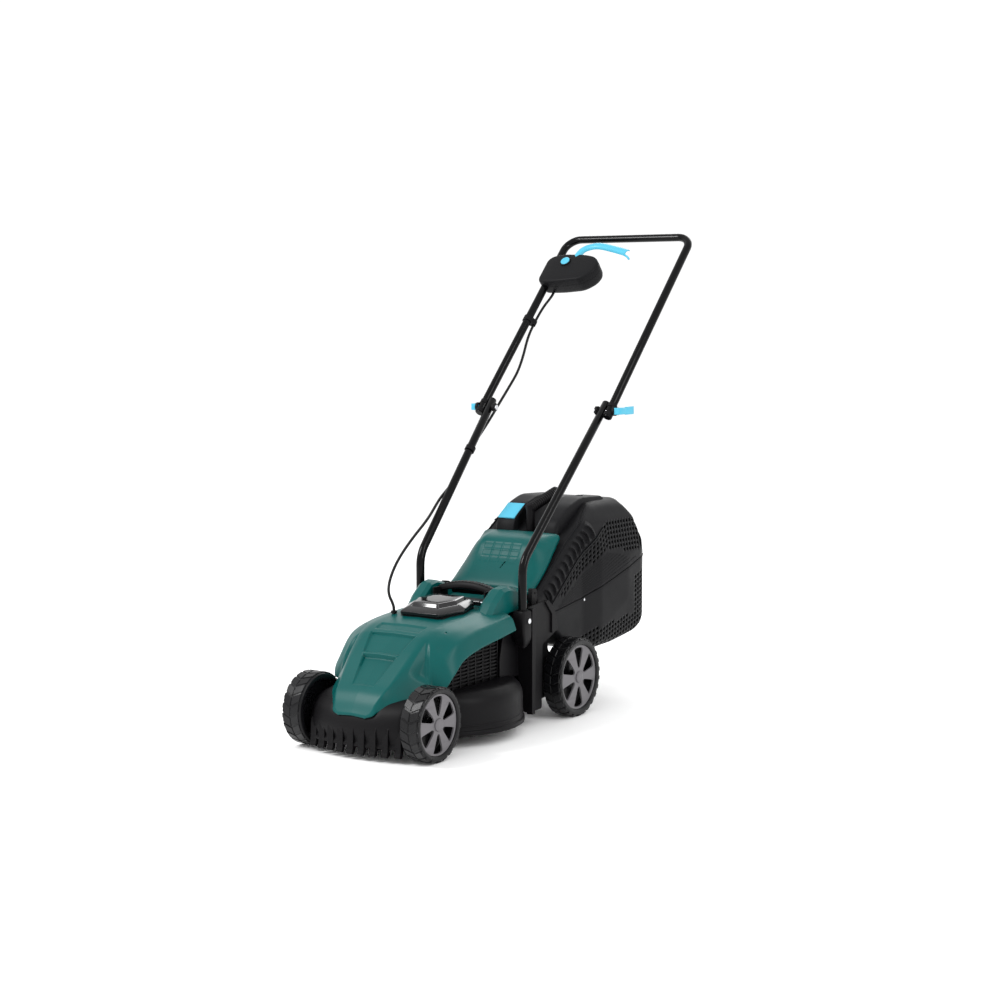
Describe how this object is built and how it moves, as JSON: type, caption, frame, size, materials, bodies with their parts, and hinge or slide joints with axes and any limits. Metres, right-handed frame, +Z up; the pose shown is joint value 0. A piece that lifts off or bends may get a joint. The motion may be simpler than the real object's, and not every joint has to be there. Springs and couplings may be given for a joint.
{
  "type": "rotary lawn mower",
  "caption": "Cordless push rotary mower with folding two-part tube handle, faceted battery lid, rear grass box under a hinged flap, and bail switch.",
  "frame": {"origin": "on the ground, under the middle of the overall length and width", "axes": "+Z up, the front of the mower faces -Y, the handle rises towards +Y, the mower's left side is +X"},
  "size_m": [0.409, 1.147, 1.0933],
  "materials": {
    "black_moulding": "fine grained black polypropylene",
    "teal_moulding": "satin teal moulding",
    "smoked_lid": "polished black moulding",
    "grey_trim": "satin grey moulding",
    "wheel_rubber": "satin black tread",
    "zinc_steel": "zinc plated",
    "chrome_steel": "bright plated",
    "black_enamel": "gloss black powder coat",
    "blue_moulding": "light blue moulding",
    "cable_sheath": "black cable sheath",
    "blade_steel": "ground blade steel",
    "motor_paint": "dark painted motor can"
  },
  "bodies": {
    "chassis": {"deck": "black_moulding", "hood": "teal_moulding", "side_vent_right": "black_moulding", "side_vent_left": "black_moulding", "motor_case": "motor_paint", "control_unit": "black_moulding", "battery_tray": "black_moulding", "battery_pack": "black_moulding", "lid_pin": "zinc_steel", "carry_handle": "black_moulding", "handle_socket_right": "black_moulding", "handle_socket_left": "black_moulding", "socket_bolts": "chrome_steel", "front_axle": "zinc_steel", "rear_axle": "zinc_steel", "axle_clips": "zinc_steel", "flap_pin": "zinc_steel", "lower_tube_right": "black_enamel", "lower_tube_left": "black_enamel", "fold_bushes": "black_moulding", "cable_lower": "cable_sheath", "cable_clip_lower": "black_moulding", "cable_gland": "cable_sheath"},
    "front_wheel_right": {"front_tyre_right": "wheel_rubber", "front_hub_right": "grey_trim", "front_cap_right": "grey_trim"},
    "front_wheel_left": {"front_tyre_left": "wheel_rubber", "front_hub_left": "grey_trim", "front_cap_left": "grey_trim"},
    "rear_wheel_right": {"rear_tyre_right": "wheel_rubber", "rear_hub_right": "grey_trim", "rear_cap_right": "grey_trim"},
    "rear_wheel_left": {"rear_tyre_left": "wheel_rubber", "rear_hub_left": "grey_trim", "rear_cap_left": "grey_trim"},
    "cutter": {"motor_spindle": "zinc_steel", "blade_fan": "black_moulding", "blade": "blade_steel", "blade_bolt": "blade_steel"},
    "battery_cover": {"battery_lid": "smoked_lid"},
    "flap": {"rear_flap": "teal_moulding"},
    "grass_box": {"box_upper": "black_moulding", "box_lower": "black_moulding", "box_grip": "black_moulding", "box_snaps": "black_moulding"},
    "full_flap": {"box_window": "blue_moulding"},
    "upper_handle": {"upper_frame": "black_enamel", "fold_bolts": "chrome_steel", "cam_pins": "zinc_steel", "switch_case_upper": "black_moulding", "switch_case_lower": "black_moulding", "bail_pin": "zinc_steel", "cable_upper": "cable_sheath", "cable_fold": "cable_sheath", "cable_clip_upper": "black_moulding"},
    "right_cam": {"cam_lever_right": "blue_moulding"},
    "left_cam": {"cam_lever_left": "blue_moulding"},
    "button": {"safety_button": "blue_moulding"},
    "bail": {"bail_lever": "blue_moulding"}
  },
  "joints": [
    {"name": "front_right_spin", "type": "hinge", "parent": "chassis", "child": "front_wheel_right", "pos_m": [0, -0.49602, 0.0775], "axis": [1, 0, 0], "continuous": true},
    {"name": "front_left_spin", "type": "hinge", "parent": "chassis", "child": "front_wheel_left", "pos_m": [0, -0.49602, 0.0775], "axis": [1, 0, 0], "continuous": true},
    {"name": "rear_right_spin", "type": "hinge", "parent": "chassis", "child": "rear_wheel_right", "pos_m": [0, 0.04898, 0.0885], "axis": [1, 0, 0], "continuous": true},
    {"name": "rear_left_spin", "type": "hinge", "parent": "chassis", "child": "rear_wheel_left", "pos_m": [0, 0.04898, 0.0885], "axis": [1, 0, 0], "continuous": true},
    {"name": "blade_spin", "type": "hinge", "parent": "chassis", "child": "cutter", "pos_m": [0, -0.25102, 0.05], "axis": [0, 0, 1], "continuous": true},
    {"name": "battery_lid_open", "type": "hinge", "parent": "chassis", "child": "battery_cover", "pos_m": [0, -0.19702, 0.28], "axis": [-1, 0, 0], "range_deg": [0, 85]},
    {"name": "rear_flap_lift", "type": "hinge", "parent": "chassis", "child": "flap", "pos_m": [0, -0.06002, 0.288], "axis": [1, 0, 0], "range_deg": [0, 65]},
    {"name": "grass_box_off", "type": "slide", "parent": "chassis", "child": "grass_box", "axis": [0, 1, 0], "range_m": [0, 0.2]},
    {"name": "full_indicator", "type": "hinge", "parent": "grass_box", "child": "full_flap", "pos_m": [-0.059, 0.14512, 0.45938], "axis": [-1, 0, 0], "range_deg": [0, 20]},
    {"name": "handle_fold", "type": "hinge", "parent": "chassis", "child": "upper_handle", "pos_m": [0, 0.17432, 0.68023], "axis": [1, 0, 0], "range_deg": [0, 150], "deforming": ["cable_fold"]},
    {"name": "right_cam_open", "type": "hinge", "parent": "upper_handle", "child": "right_cam", "pos_m": [-0.1945, 0.17432, 0.68023], "axis": [0, 0, 1], "range_deg": [0, 100]},
    {"name": "left_cam_open", "type": "hinge", "parent": "upper_handle", "child": "left_cam", "pos_m": [0.1945, 0.17432, 0.68023], "axis": [0, 0, -1], "range_deg": [0, 100]},
    {"name": "safety_button_press", "type": "slide", "parent": "upper_handle", "child": "button", "axis": [0, 0.7193, -0.6947], "range_m": [0, 0.003], "stiffness_N_per_m": 400, "springref_m": -0.002},
    {"name": "bail_pull", "type": "hinge", "parent": "upper_handle", "child": "bail", "pos_m": [-0.107, 0.48935, 1.02661], "axis": [-1, 0, 0], "range_deg": [0, 25], "stiffness_Nm_per_rad": 0.5, "springref_deg": -28.65}
  ]
}
